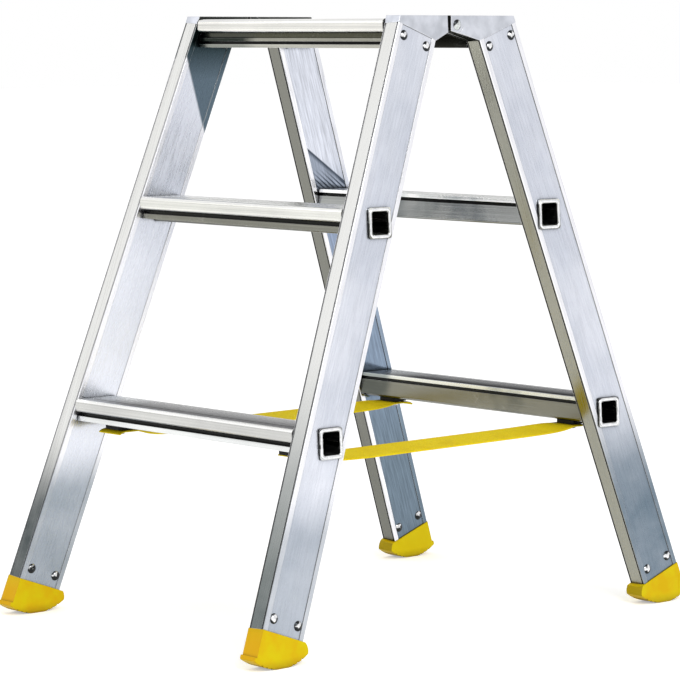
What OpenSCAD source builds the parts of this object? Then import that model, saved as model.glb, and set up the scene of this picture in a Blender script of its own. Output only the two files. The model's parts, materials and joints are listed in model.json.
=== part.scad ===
// Double-sided folding step ladder of extruded aluminium, standing open.
// X runs along the treads, the front frame is on -Y, and the floor is z = 0.

/* [Ladder] */
// Height of the top step above the floor
ladder_h = 690; // [600:5:900]
// Lean of each frame from upright, in degrees
lean = 20; // [14:0.5:24]
// Width over the stiles at the top
top_w = 370; // [300:5:450]
// Width over the stiles at the floor
foot_w = 462; // [380:2:540]
// Gap between the front and rear stiles at the top
top_gap = 50; // [44:1:70]
// Number of facets on round parts
$fn = 64; // [32:8:96]

/* [Stiles] */
// Depth of a stile, across its broad face
stile_d = 60; // [54:1:72]
// Thickness of a stile, across its narrow face
stile_t = 23; // [20:0.5:30]
// Wall of the stile's box section
stile_wall = 1.8; // [1.2:0.1:2.6]
// Radius of the stile's outer corners
stile_corner = 1.2; // [0.8:0.1:2]
// Width of the raised bead along each edge of a broad face
bead_w = 6.5; // [4:0.5:9]
// Depth of the web below the beads
web_recess = 0.7; // [0.3:0.1:1.2]
// Width of the groove along each corner of a narrow face
corner_groove_w = 2.2; // [1:0.1:3]
// Depth of the corner groove
corner_groove_depth = 1; // [0.4:0.1:1.1]
// Height of the stile's front lower corner above the floor
stile_rise = 45; // [38:1:60]
// Drop of the stile's front upper corner below the top step
stile_drop = 4; // [2:0.5:8]

/* [Treads] */
// Height of the lower tread above the floor
low_tread_z = 249; // [200:1:280]
// Height of the upper tread above the floor
mid_tread_z = 483; // [400:1:520]
// Depth of a tread from nose to back lip
tread_d = 57; // [52:1:64]
// Height of a tread's front
tread_h = 26; // [25:0.5:30]
// Height of the top step's front
top_step_h = 33; // [31:0.5:36]
// Height of the nose
nose_h = 16; // [13:0.5:17]
// Radius of the nose's edges
nose_round = 5; // [3:0.5:6]
// Wall of the tread extrusion
tread_wall = 1.6; // [1.2:0.1:2.4]
// Width of the square tube that passes through the stiles
tube_w = 27; // [24:0.5:30]
// Height of the square tube that passes through the stiles
tube_h = 28; // [25:0.5:31]
// Wall of the square tube
tube_wall = 1.1; // [0.9:0.1:1.8]
// Distance of the tube behind the nose
tube_setback = 22; // [21:0.5:24]
// Width of the tube's flared rim outside the stile
rim_w = 3; // [2:0.5:5]
// Thickness of the flared rim
rim_t = 1.8; // [1:0.2:3]
// Pitch of the grip grooves in the deck
grip_pitch = 4.2; // [3.4:0.2:6]

/* [Hinges] */
// How far the hinge heads stand above the top step
head_rise = 3.5; // [1:0.5:5]
// Diameter of the hinge pin
pin_dia = 8; // [6:0.5:9]
// Drop of the pin's centre below the top step
pin_drop = 7; // [6.5:0.5:9]
// Depth of the hinge heads below the pin
knuckle_r = 8.5; // [8:0.5:10]
// How far the fork reaches past the pin
fork_reach = 9.5; // [8:0.5:10]
// Gap between the fork and the shoulder in front of it
shoulder_gap = 5; // [4:0.1:6]
// Thickness of each fork cheek
cheek_t = 6; // [4.5:0.5:7]
// Diameter of the pin's heads
pin_head_dia = 12; // [11:0.5:13]
// Length of the plugs inside the stile ends
plug_l = 36; // [28:1:50]

/* [Feet] */
// Radius of the rocker sole
sole_r = 65; // [55:1:90]
// How far the heel stands out behind the stile
heel_out = 10; // [7:0.5:12]
// How far the toe ridge stands out in front of the stile
toe_out = 2.5; // [1.5:0.5:4]
// How far the foot stands proud of the stile's broad faces
foot_proud = 0.8; // [0.4:0.1:1.5]

/* [Rivets] */
// Diameter of a rivet's shank
rivet_dia = 5; // [4:0.2:6]
// Diameter of a rivet's head
rivet_head_dia = 11.5; // [8:0.5:13]
// Height of a rivet's head
rivet_head_h = 2.6; // [1.5:0.1:3.5]
// Distance of the rivets from the stile's edges
rivet_inset = 12; // [10:0.5:16]
// Distance of the foot rivets from the stile's end
foot_rivet_rise = 14.5; // [10:0.5:20]
// Distance of the hinge rivets from the stile's end
hinge_rivet_drop = 11; // [9:0.5:16]

/* [Straps] */
// Width of the webbing
strap_w = 40; // [25:1:50]
// Thickness of the webbing
strap_t = 2.2; // [1.4:0.2:3]
// Distance of the strap's centre from the stile's inner face
strap_inset = 36; // [26:1:60]
// Length of a strap anchor along the ladder's depth
anchor_d = 22; // [18:1:30]
// Width of a strap anchor
anchor_w = 28; // [20:1:34]
// Height of a strap anchor
anchor_h = 4.5; // [3:0.5:9]
// Diameter of a strap screw's shank
screw_dia = 5; // [4:0.5:6]
// Diameter of a strap screw's head
screw_head_dia = 12; // [9:0.5:14]
// Height of a strap screw's head
screw_head_h = 3.2; // [2.4:0.2:4]

/* [Clearances] */
// Side clearance of plugs and tubes in the stiles
fit_gap = 0.2; // [0.1:0.05:0.4]
// Gap between each end of a top step and the hinge head beside it
step_gap = 0.7; // [0.5:0.05:0.9]
// Radial clearance of the hinge pin in the tongue
pin_gap = 0.05; // [0.02:0.01:0.1]
// Clearance between the moving hinge faces, and round the straps
move_gap = 0.3; // [0.2:0.05:0.5]

/* [Hidden] */

aluminium = [0.80, 0.81, 0.84];
bright_aluminium = [0.90, 0.90, 0.89];
rivet_steel = [0.70, 0.71, 0.72];
foot_yellow = [0.86, 0.74, 0.02];
strap_yellow = [0.87, 0.71, 0.02];
anchor_black = [0.08, 0.08, 0.08];

// Overrun of cuts, past every face
over = stile_d;

// The frame's slope and the flare of its stiles
slope = tan(lean);
flare = atan((foot_w - top_w) / 2 / (ladder_h / cos(lean)));
stile_span = stile_d / cos(lean);
// Stile ends, measured along the stile from the top of its inner edge
stile_top_u = -(stile_drop + stile_d * sin(lean)) / cos(lean) / cos(flare);
stile_end_u = (stile_rise - ladder_h - stile_d * sin(lean)) / cos(lean) / cos(flare);
// The stile's box cavity
cavity_t = stile_t - 2 * (stile_wall + web_recess);
cavity_d = stile_d - 2 * stile_wall;
corner_groove_inset = 1;
// The stile's inner corner at its upper cut, in y and z below the top
cut_drop = stile_drop + stile_d * sin(lean);
cut_y = -(top_gap / 2 + cut_drop * slope);

// The tread's section, measured from the nose and from its top
nose_mid = nose_h / 2;
front_wall_share = 0.55;
front_wall_v = front_wall_share * nose_h;
lip_h = 6;
step_lip_h = 4;
lip_share = 0.25;
lip_v = lip_share * nose_h;
bead_h = 3.5;
bead_groove_h = 3.5;
back_lip_h = 4;
back_groove_h = 4;
back_groove_d = 4;
back_wall_v = tread_d - tread_wall / 2;
grip_w = 1.2;
grip_depth = 0.7;
nose_groove_w = 2.4;
nose_groove_depth = 1.4;
tube_corner = 3;
tube_drop = 1.9;
tube_v = tube_setback + tube_w / 2;
tube_mid_h = -tube_drop - tube_h / 2;

// The hinge stack along the pin
arm_out_x = top_w / 2;
arm_in_x = arm_out_x - stile_t + move_gap;
tongue_out_x = arm_out_x - cheek_t - move_gap;
tongue_in_x = arm_in_x + cheek_t + move_gap;
tongue_r = knuckle_r;
fork_toe_share = 0.8;
fork_toe = fork_toe_share * knuckle_r;
pin_head_t = 2.4;
spigot_l = 14;
spigot_w = 12;
spigot_h = 6;

// The foot's side outline
end_y = -(top_gap / 2 + stile_span + (ladder_h - stile_rise) * slope);
sole_flat = 0.6;
sole_mid_share = 0.41;
sole_y = end_y + sole_mid_share * stile_d;
heel_round_share = 1.4;
heel_drop_share = 1.25;
heel_r = heel_round_share * heel_out;
toe_h = 6;
toe_l = 36.8;
sole_groove_w = 1.6;
sole_groove_depth = 1.1;
sole_groove_turns = [-26, -20, -14, 14, 20, 26];

// Strap line
tread_low = low_tread_z - tube_drop - tube_h;
strap_top = tread_low - anchor_h - move_gap;
strap_x = face_x(low_tread_z) - stile_t - strap_inset;
strap_y = nose_y(low_tread_z) + tube_v;
strap_end = anchor_d / 2;

// Front edge and back edge of the front stile at height z, and the outer face there
function outer_y(z) = -(top_gap / 2 + stile_span + (ladder_h - z) * slope);
function nose_y(z) = outer_y(z - nose_mid);
function face_x(z) = top_w / 2 + (ladder_h - z) / ladder_h * (foot_w - top_w) / 2;
function half_at(u, off) = top_w / 2 + off - u * tan(flare);

// Places a front right piece on one of the four corners
module at_corner(is_front, is_right) {
    if (is_front && is_right) children();
    if (is_front && !is_right) mirror([1, 0, 0]) children();
    if (!is_front && is_right) mirror([0, 1, 0]) children();
    if (!is_front && !is_right) mirror([1, 0, 0]) mirror([0, 1, 0]) children();
}

// Places a piece for the front frame on the front or on the rear
module at_frame(is_front) {
    if (is_front) children();
    else mirror([0, 1, 0]) children();
}

// The front frame's plane: z runs up the frame, -y out of its face
module in_frame() translate([0, -top_gap / 2, ladder_h]) rotate([-lean, 0, 0]) children();

// Along the front right stile, with x = 0 on its outer face
module in_stile() in_frame() translate([top_w / 2, 0, 0]) rotate([0, -flare, 0]) children();

// Extrudes a side outline, drawn in y and z, along x
module along_x(x0, x1) translate([x0, 0, 0]) rotate([90, 0, 90]) linear_extrude(x1 - x0) children();

// A rectangle with round corners, on its centre
module round_rect(w, h, r) {
    square([w - 2 * r, h], center = true);
    square([w, h - 2 * r], center = true);
    for (sx = [-1, 1], sy = [-1, 1])
        translate([sx * (w / 2 - r), sy * (h / 2 - r)]) circle(r);
}

// The space between the two stiles, out to a distance off from their outer faces
module between_faces(off) {
    in_frame() translate([0, over, 0]) rotate([90, 0, 0]) linear_extrude(2 * over + stile_d)
        polygon([
            [-half_at(over, off), over], [half_at(over, off), over],
            [half_at(stile_end_u, off), stile_end_u], [-half_at(stile_end_u, off), stile_end_u]
        ]);
}

// Stiles
module stile_profile() {
    translate([-stile_t / 2, -stile_d / 2]) difference() {
        round_rect(stile_t, stile_d, stile_corner);
        for (side = [-1, 1]) translate([side * stile_t / 2, 0])
            square([2 * web_recess, stile_d - 2 * bead_w], center = true);
        for (side = [-1, 1], end = [-1, 1])
            translate([side * (stile_t - corner_groove_w - 2 * corner_groove_inset) / 2, end * stile_d / 2])
                square([corner_groove_w, 2 * corner_groove_depth], center = true);
        square([cavity_t, cavity_d], center = true);
    }
}

// The two rivet places of a stile end, u along the stile
module rivet_places(u) {
    for (inset = [rivet_inset, stile_d - rivet_inset])
        translate([-stile_t / 2, -inset, u]) rotate([0, 90, 0]) children();
}

module rivet_hole() cylinder(d = rivet_dia + fit_gap, h = over, center = true);

module stile() {
    difference() {
        in_stile() translate([0, 0, stile_end_u])
            linear_extrude(stile_top_u - stile_end_u) stile_profile();
        in_stile() rivet_places(stile_end_u + foot_rivet_rise) rivet_hole();
        in_stile() rivet_places(stile_top_u - hinge_rivet_drop) rivet_hole();
        for (z = [low_tread_z, mid_tread_z])
            translate([0, nose_y(z) + tube_v, z + tube_mid_h])
                along_x(0, foot_w) round_rect(tube_w + 2 * fit_gap, tube_h + 2 * fit_gap, tube_corner);
    }
}

// Treads
module grip_grooves() {
    first = nose_h + nose_groove_w;
    for (v = [first : grip_pitch : back_wall_v - back_groove_d])
        translate([v, -grip_depth]) square([grip_w, over]);
    translate([nose_h - nose_groove_w, -nose_groove_depth]) square([nose_groove_w, over]);
}

// Outside of the section: nose, front wall with its lower lip, back wall with its groove
module tread_outline(h, front_lip_h) {
    difference() {
        union() {
            translate([nose_mid, -nose_mid]) round_rect(nose_h, nose_h, nose_round);
            translate([nose_mid, -nose_h]) square([nose_h, nose_h]);
            translate([front_wall_v, -h]) square([back_wall_v - front_wall_v, h]);
            translate([lip_v, -h]) square([nose_mid, front_lip_h]);
            translate([tread_d - nose_h, -back_lip_h]) square([nose_h, back_lip_h]);
        }
        translate([tread_d - back_groove_d, -back_lip_h - back_groove_h])
            square([over, back_groove_h]);
        grip_grooves();
    }
}

// The bead that the top step has above its lower lip
module top_step_bead() {
    translate([lip_v, -top_step_h + step_lip_h + bead_groove_h]) square([nose_mid, bead_h]);
}

module tube_outline(grow) {
    translate([tube_v, tube_mid_h]) round_rect(tube_w + 2 * grow, tube_h + 2 * grow, tube_corner);
}

// The hollow of the front beam, behind the nose
module front_chamber(h) {
    nose_hollow = nose_h - 2 * tread_wall - nose_groove_depth;
    translate([tread_wall + nose_hollow / 2, -nose_h + tread_wall + nose_hollow / 2])
        round_rect(nose_hollow, nose_hollow, nose_round - tread_wall);
    chamber_v = front_wall_v + tread_wall;
    translate([chamber_v, -h + tread_wall])
        square([tube_setback - tread_wall - chamber_v, h - tread_wall - 2 * nose_groove_depth]);
}

module tread_body(z, h, front_lip_h) {
    translate([0, nose_y(z), z]) along_x(-foot_w / 2, foot_w / 2) difference() {
        union() {
            tread_outline(h, front_lip_h);
            tube_outline(0);
        }
        front_chamber(h);
        tube_outline(-tube_wall);
    }
}

// A tread whose tube runs through both stiles and is flared outside them
module tread(z) {
    intersection() {
        tread_body(z, tread_h, lip_h);
        between_faces(-stile_t / cos(flare));
    }
    intersection() {
        translate([0, nose_y(z), z]) along_x(-foot_w, foot_w) difference() {
            tube_outline(0);
            tube_outline(-tube_wall);
        }
        between_faces(rim_t);
    }
    difference() {
        intersection() {
            translate([0, nose_y(z), z]) along_x(-foot_w, foot_w) difference() {
                tube_outline(rim_w);
                tube_outline(-tube_wall);
            }
            between_faces(rim_t);
        }
        between_faces(0);
    }
}

// The low tread is drilled for the strap screws
module low_tread() {
    difference() {
        tread(low_tread_z);
        for (side = [-1, 1]) translate([side * strap_x, strap_y, tread_low - tread_wall])
            cylinder(d = screw_dia + fit_gap, h = tread_wall + tube_h / 2);
    }
}

module top_step() {
    intersection() {
        union() {
            tread_body(ladder_h, top_step_h, step_lip_h);
            translate([0, nose_y(ladder_h), ladder_h]) along_x(-foot_w / 2, foot_w / 2) top_step_bead();
        }
        between_faces(-stile_t / cos(flare) - step_gap);
    }
}

// Hinge heads: a plug in the stile's end, a head that fills the stile up to the top, and the arms
module plug_profile() {
    translate([-stile_t / 2, -stile_d / 2])
        square([cavity_t - 2 * fit_gap, cavity_d - 2 * fit_gap], center = true);
}

module hinge_plug() {
    in_stile() difference() {
        translate([0, 0, stile_top_u - plug_l]) linear_extrude(plug_l) plug_profile();
        rivet_places(stile_top_u - hinge_rivet_drop) rivet_hole();
    }
}

// A domed head on z = 0
module dome(d, h) {
    r = (d * d / 4 + h * h) / (2 * h);
    rotate_extrude() intersection() {
        translate([0, h - r]) circle(r);
        square([d / 2, h]);
    }
}

// The stile's own thickness above its upper end
module stile_head_space() {
    in_stile() translate([-stile_t, -stile_d, stile_top_u]) cube([stile_t, stile_d + over, 2 * over]);
}

// Side outline of the head on the stile, to a distance reach in front of the pin
module head_outline(reach) {
    polygon([
        [-reach, head_rise], [-reach, -pin_drop - knuckle_r], [cut_y, -cut_drop],
        [outer_y(ladder_h) - over, -over], [outer_y(ladder_h) - over, head_rise]
    ]);
}

// Spigot that carries the end of the top step
module step_spigot() {
    spigot_x = arm_in_x - spigot_l;
    translate([spigot_x, nose_y(ladder_h) + tube_v - spigot_w / 2,
               ladder_h - tube_drop - tube_wall - fit_gap - spigot_h])
        cube([spigot_l + stile_t / 2, spigot_w, spigot_h]);
}

module head_base(reach) {
    intersection() {
        translate([0, 0, ladder_h]) along_x(0, foot_w) head_outline(reach);
        stile_head_space();
    }
    hinge_plug();
    step_spigot();
}

module pin_hole(gap) {
    translate([0, 0, ladder_h - pin_drop]) rotate([0, 90, 0]) cylinder(d = pin_dia + 2 * gap, h = foot_w);
}

// Front head: a shoulder in front of the fork, and one tongue on the pin, cut back for the fold
module tongue_head() {
    reach = fork_reach + shoulder_gap;
    low = -pin_drop - knuckle_r;
    difference() {
        union() {
            head_base(reach);
            translate([0, 0, ladder_h]) along_x(tongue_in_x, tongue_out_x) {
                translate([0, -pin_drop]) circle(tongue_r);
                polygon([
                    [cut_y, head_rise], [-reach, head_rise], [0, -pin_drop + tongue_r], [0, -pin_drop],
                    [-knuckle_r * tan(2 * lean), low], [-reach, low], [cut_y, -cut_drop]
                ]);
            }
        }
        pin_hole(pin_gap);
    }
}

// Rear head, drawn on the front: two cheeks of a fork, with one straight lower edge
module fork_head() {
    web_r = tongue_r + 2 * move_gap;
    difference() {
        union() {
            difference() {
                head_base(0);
                translate([0, 0, ladder_h - pin_drop]) rotate([0, 90, 0]) cylinder(r = web_r, h = foot_w);
            }
            for (x = [arm_in_x, arm_out_x - cheek_t])
                translate([0, 0, ladder_h]) along_x(x, x + cheek_t) cheek_outline();
        }
        translate([0, 0, ladder_h]) along_x(tongue_in_x - move_gap, tongue_out_x + move_gap)
            translate([0, -pin_drop]) circle(web_r);
        pin_hole(pin_gap / 2);
    }
}

module cheek_outline() {
    polygon([
        [cut_y, head_rise], [fork_reach, head_rise], [fork_reach, -pin_drop - fork_toe], [cut_y, -cut_drop]
    ]);
}

// Hinge pin with a domed head outside each cheek
module hinge_pin() {
    translate([arm_in_x, 0, ladder_h - pin_drop]) rotate([0, 90, 0]) {
        cylinder(d = pin_dia, h = arm_out_x - arm_in_x);
        mirror([0, 0, 1]) dome(pin_head_dia, pin_head_t);
        translate([0, 0, arm_out_x - arm_in_x]) dome(pin_head_dia, pin_head_t);
    }
}

// Feet: a plug in the stile's end, a cap as wide as the stile, a heel and a rocker sole
module foot_outline() {
    intersection() {
        translate([end_y, stile_rise]) rotate(-lean) {
            translate([0, -over]) square([stile_d, 2 * over]);
            translate([stile_d + heel_out - heel_r, -heel_drop_share * heel_out]) circle(heel_r);
            translate([-toe_out, -toe_l]) square([stile_d, toe_h]);
        }
        translate([sole_y, sole_r - sole_flat]) circle(sole_r);
        translate([end_y - over, 0]) square([4 * over, 2 * over]);
    }
}

// Grip grooves across the sole, clear of the flat that it stands on
module sole_grooves() {
    translate([sole_y, sole_r - sole_flat]) for (turn = sole_groove_turns) rotate(turn)
        translate([0, -sole_r]) square([sole_groove_w, 2 * sole_groove_depth], center = true);
}

module foot() {
    intersection() {
        along_x(0, foot_w) difference() {
            foot_outline();
            sole_grooves();
        }
        in_stile() translate([-stile_t - foot_proud, -stile_d - over, stile_end_u - 2 * over])
            cube([stile_t + 2 * foot_proud, stile_d + 3 * over, 2 * over]);
    }
    in_stile() difference() {
        translate([0, 0, stile_end_u - toe_h]) linear_extrude(plug_l + toe_h) plug_profile();
        rivet_places(stile_end_u + foot_rivet_rise) rivet_hole();
    }
}

// Rivets: a shank through the stile and its plug, with a domed head on the named webs
module rivet(ends) {
    grip = stile_t - 2 * web_recess;
    cylinder(d = rivet_dia, h = grip, center = true);
    for (end = ends) mirror([0, 0, end]) translate([0, 0, grip / 2]) dome(rivet_head_dia, rivet_head_h);
}

module foot_rivets() in_stile() rivet_places(stile_end_u + foot_rivet_rise) rivet([0, 1]);

// The end of the top step covers the hinge rivets' tails, so these are set flush
module hinge_rivets() in_stile() rivet_places(stile_top_u - hinge_rivet_drop) rivet([0]);

// Straps: flat webbing between the low treads, on anchors under them
module strap() {
    difference() {
        translate([strap_x, 0, strap_top - strap_t]) linear_extrude(strap_t)
            square([strap_w, 2 * (-strap_y + strap_end)], center = true);
        for (side = [-1, 1]) translate([strap_x, side * strap_y, strap_top])
            cylinder(d = screw_dia + 2 * move_gap, h = over, center = true);
    }
}

module strap_anchor() {
    difference() {
        translate([strap_x, strap_y, tread_low - anchor_h]) linear_extrude(anchor_h)
            round_rect(anchor_w, anchor_d, tube_corner);
        translate([strap_x, strap_y, tread_low])
            cylinder(d = screw_dia + fit_gap, h = over, center = true);
    }
}

module strap_screw() {
    head_top = strap_top - strap_t - move_gap;
    shank_l = tread_low + 3 * tread_wall - head_top;
    translate([strap_x, strap_y, head_top]) {
        cylinder(d = screw_dia, h = shank_l);
        translate([0, 0, -screw_head_h]) cylinder(d = screw_head_dia, h = screw_head_h);
    }
}

// A pair of small pieces, left and right, on one frame
module both_sides(is_front) {
    at_corner(is_front, true) children();
    at_corner(is_front, false) children();
}

module front_left_stile() color(aluminium) at_corner(true, false) stile();
module front_right_stile() color(aluminium) at_corner(true, true) stile();
module rear_left_stile() color(aluminium) at_corner(false, false) stile();
module rear_right_stile() color(aluminium) at_corner(false, true) stile();
module front_low_tread() color(bright_aluminium) low_tread();
module front_mid_tread() color(bright_aluminium) tread(mid_tread_z);
module front_top_step() color(bright_aluminium) top_step();
module rear_low_tread() color(bright_aluminium) at_frame(false) low_tread();
module rear_mid_tread() color(bright_aluminium) at_frame(false) tread(mid_tread_z);
module rear_top_step() color(bright_aluminium) at_frame(false) top_step();
module front_left_hinge_head() color(aluminium) at_corner(true, false) tongue_head();
module front_right_hinge_head() color(aluminium) at_corner(true, true) tongue_head();
module rear_left_hinge_head() color(aluminium) at_corner(false, false) fork_head();
module rear_right_hinge_head() color(aluminium) at_corner(false, true) fork_head();
module left_hinge_pin() color(rivet_steel) at_corner(true, false) hinge_pin();
module right_hinge_pin() color(rivet_steel) hinge_pin();
module front_left_foot() color(foot_yellow) at_corner(true, false) foot();
module front_right_foot() color(foot_yellow) at_corner(true, true) foot();
module rear_left_foot() color(foot_yellow) at_corner(false, false) foot();
module rear_right_foot() color(foot_yellow) at_corner(false, true) foot();
module front_foot_rivets() color(rivet_steel) both_sides(true) foot_rivets();
module rear_foot_rivets() color(rivet_steel) both_sides(false) foot_rivets();
module front_hinge_rivets() color(rivet_steel) both_sides(true) hinge_rivets();
module rear_hinge_rivets() color(rivet_steel) both_sides(false) hinge_rivets();
module left_strap() color(strap_yellow) at_corner(true, false) strap();
module right_strap() color(strap_yellow) strap();
module front_strap_anchors() color(anchor_black) both_sides(true) strap_anchor();
module rear_strap_anchors() color(anchor_black) both_sides(false) strap_anchor();
module front_strap_screws() color(rivet_steel) both_sides(true) strap_screw();
module rear_strap_screws() color(rivet_steel) both_sides(false) strap_screw();

front_left_stile();
front_right_stile();
rear_left_stile();
rear_right_stile();
front_low_tread();
front_mid_tread();
front_top_step();
rear_low_tread();
rear_mid_tread();
rear_top_step();
front_left_hinge_head();
front_right_hinge_head();
rear_left_hinge_head();
rear_right_hinge_head();
left_hinge_pin();
right_hinge_pin();
front_left_foot();
front_right_foot();
rear_left_foot();
rear_right_foot();
front_foot_rivets();
rear_foot_rivets();
front_hinge_rivets();
rear_hinge_rivets();
left_strap();
right_strap();
front_strap_anchors();
rear_strap_anchors();
front_strap_screws();
rear_strap_screws();
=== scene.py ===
import json
import math

import bpy
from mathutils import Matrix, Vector


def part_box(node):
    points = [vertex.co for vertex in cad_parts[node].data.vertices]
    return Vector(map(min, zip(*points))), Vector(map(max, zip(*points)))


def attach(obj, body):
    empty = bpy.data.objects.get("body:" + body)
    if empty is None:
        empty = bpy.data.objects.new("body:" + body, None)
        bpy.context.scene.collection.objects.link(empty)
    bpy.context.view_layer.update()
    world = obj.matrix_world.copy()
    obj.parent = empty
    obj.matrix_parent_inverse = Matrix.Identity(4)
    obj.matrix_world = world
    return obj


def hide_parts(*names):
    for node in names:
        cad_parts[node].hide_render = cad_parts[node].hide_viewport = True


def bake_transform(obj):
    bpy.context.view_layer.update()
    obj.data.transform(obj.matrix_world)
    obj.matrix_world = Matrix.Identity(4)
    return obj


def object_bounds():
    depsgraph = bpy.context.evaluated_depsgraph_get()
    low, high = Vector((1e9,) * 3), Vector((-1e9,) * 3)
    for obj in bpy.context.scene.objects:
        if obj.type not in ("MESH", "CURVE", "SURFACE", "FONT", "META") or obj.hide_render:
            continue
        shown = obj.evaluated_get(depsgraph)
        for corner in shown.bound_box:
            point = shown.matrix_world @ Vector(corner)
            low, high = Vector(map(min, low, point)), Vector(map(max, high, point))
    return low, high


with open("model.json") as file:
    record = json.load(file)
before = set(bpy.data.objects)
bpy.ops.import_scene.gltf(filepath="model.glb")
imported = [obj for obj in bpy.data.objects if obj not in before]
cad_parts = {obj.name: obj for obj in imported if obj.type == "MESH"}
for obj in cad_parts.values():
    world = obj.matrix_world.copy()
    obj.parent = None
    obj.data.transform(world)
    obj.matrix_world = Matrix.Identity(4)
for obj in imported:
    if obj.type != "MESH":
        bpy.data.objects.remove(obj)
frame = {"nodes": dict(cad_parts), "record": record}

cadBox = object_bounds()  # the CAD box, before any dressing
print("frame loaded:", len(frame["nodes"]), "nodes")

# Measures that several pieces share, in metres
ladder = {
    "lean": math.radians(20),  # of both frames
    "tops": (0.249, 0.483, 0.690),  # heights of the low treads, the upper treads and the top steps
    "stileInner": 0.2595,  # across a frame, inner and outer edge of a stile
    "stileOuter": 0.3195,
    "topGap": 0.050,  # between the frames at the top
    "topWidth": 0.370,  # over the stiles at the top and at the floor
    "footWidth": 0.462,
    "softEdge": 0.0002,  # half width of a sharp tone step
}
leanSin, leanCos = math.sin(ladder["lean"]), math.cos(ladder["lean"])
flare = (ladder["footWidth"] - ladder["topWidth"]) / 2 * leanCos / ladder["tops"][2]
overLow, overMid = [(low + high) / 2 for low, high in zip(ladder["tops"], ladder["tops"][1:])]

# Camera, light and floor
photoView = {
    "place": (2.74424, -2.45148, 0.67073),  # metres, from the stile edges in the photo
    "turn": 48.351,
    "tilt": 5.511,
    "lens": 166.91,
    "sensor": 36.0,
    "farthest": 100,
}

studio = {
    "skyFill": 0.72,  # what the white sky gives to matt surfaces
    "floorTone": (0.93, 0.93, 0.925),
    "floorRough": 0.9,
    "floorGloss": 0.1,
    "floorLift": 0.40,  # only what the camera and the metal see
    "floorSize": 60.0,
    "keyPlace": (3.2, -1.0, 2.6),
    "keyAim": (0.0, 0.0, 0.35),
    "keySize": 1.8,
    "keyPower": 60.0,
    "sidePlace": (-2.2, -3.0, 2.4),
    "sideSize": 2.4,
    "sidePower": 17.0,
}
white = (1, 1, 1, 1)


def deselectAll():
    if bpy.context.mode != "OBJECT":
        bpy.ops.object.mode_set(mode="OBJECT")
    bpy.ops.object.select_all(action="DESELECT")


def addCamera():
    turn = (math.radians(90 - photoView["tilt"]), 0, math.radians(photoView["turn"]))
    bpy.ops.object.camera_add(location=photoView["place"], rotation=turn)
    camera = bpy.context.object
    camera.data.lens = photoView["lens"]
    camera.data.sensor_width = photoView["sensor"]
    camera.data.clip_end = photoView["farthest"]
    bpy.context.scene.camera = camera


def fillSockets(tree, node, values):  # links sockets and sets constants
    for key, value in values.items():
        if isinstance(value, bpy.types.NodeSocket):
            tree.links.new(value, node.inputs[key])
        else:
            node.inputs[key].default_value = value


def addNode(tree, kind, inputs=None, **settings):
    node = tree.nodes.new(kind)
    for key, value in settings.items():
        setattr(node, key, value)
    fillSockets(tree, node, inputs or {})
    return node


def reckon(tree, how, *values):  # one sum on sockets or numbers
    return addNode(tree, "ShaderNodeMath", dict(enumerate(values)), operation=how).outputs[0]


def combine(tree, how, *masks):  # masks joined one after the other, kept between 0 and 1
    total = masks[0]
    for mask in masks[1:]:
        total = addNode(tree, "ShaderNodeMath", {0: total, 1: mask}, operation=how, use_clamp=True).outputs[0]
    return total


def spread(tree, value, low, high, toLow=0.0, toHigh=1.0):  # a value stretched to another range
    node = addNode(tree, "ShaderNodeMapRange",
                   {"Value": value, "From Min": low, "From Max": high, "To Min": toLow, "To Max": toHigh})
    return node.outputs["Result"]


def seenBackground(tree):  # 1 for what the camera, metal and glass look at, 0 for the light on matt surfaces
    rays = addNode(tree, "ShaderNodeLightPath").outputs
    return combine(tree, "MAXIMUM", rays["Is Camera Ray"], rays["Is Glossy Ray"], rays["Is Transmission Ray"])


def makeSky():
    world = bpy.data.worlds.new("whiteStudio")
    bpy.context.scene.world = world
    world.use_nodes = True
    tree = world.node_tree
    level = spread(tree, seenBackground(tree), 0.0, 1.0, studio["skyFill"], 1.0)
    fillSockets(tree, tree.nodes["Background"], {"Color": white, "Strength": level})


def addLamp(name, place, aim, size, power):
    bpy.ops.object.light_add(type="AREA", location=place)
    lamp = bpy.context.object
    lamp.name = name
    lamp.data.size = size
    lamp.data.energy = power
    lamp.rotation_euler = (Vector(aim) - Vector(place)).to_track_quat("-Z", "Y").to_euler()


def newFinish(name):
    material = bpy.data.materials.new(name)
    material.use_nodes = True
    return material, material.node_tree, material.node_tree.nodes["Principled BSDF"]


def addFloor():
    bpy.ops.mesh.primitive_plane_add(size=studio["floorSize"], location=(0, 0, cadBox[0].z))
    floor = bpy.context.object
    floor.name = "studioFloor"
    material, tree, shader = newFinish("paleFloor")
    lift = reckon(tree, "MULTIPLY", seenBackground(tree), studio["floorLift"])
    fillSockets(tree, shader, {"Base Color": (*studio["floorTone"], 1), "Roughness": studio["floorRough"],
                               "Specular IOR Level": studio["floorGloss"], "Emission Color": white,
                               "Emission Strength": lift})
    floor.data.materials.append(material)


bpy.context.scene.view_settings.view_transform = "Standard"
deselectAll()
addCamera()
makeSky()
addFloor()
for lamp in ("key", "side"):
    addLamp(lamp + "Lamp", studio[lamp + "Place"], studio["keyAim"], studio[lamp + "Size"], studio[lamp + "Power"])
print("studio set")


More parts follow.
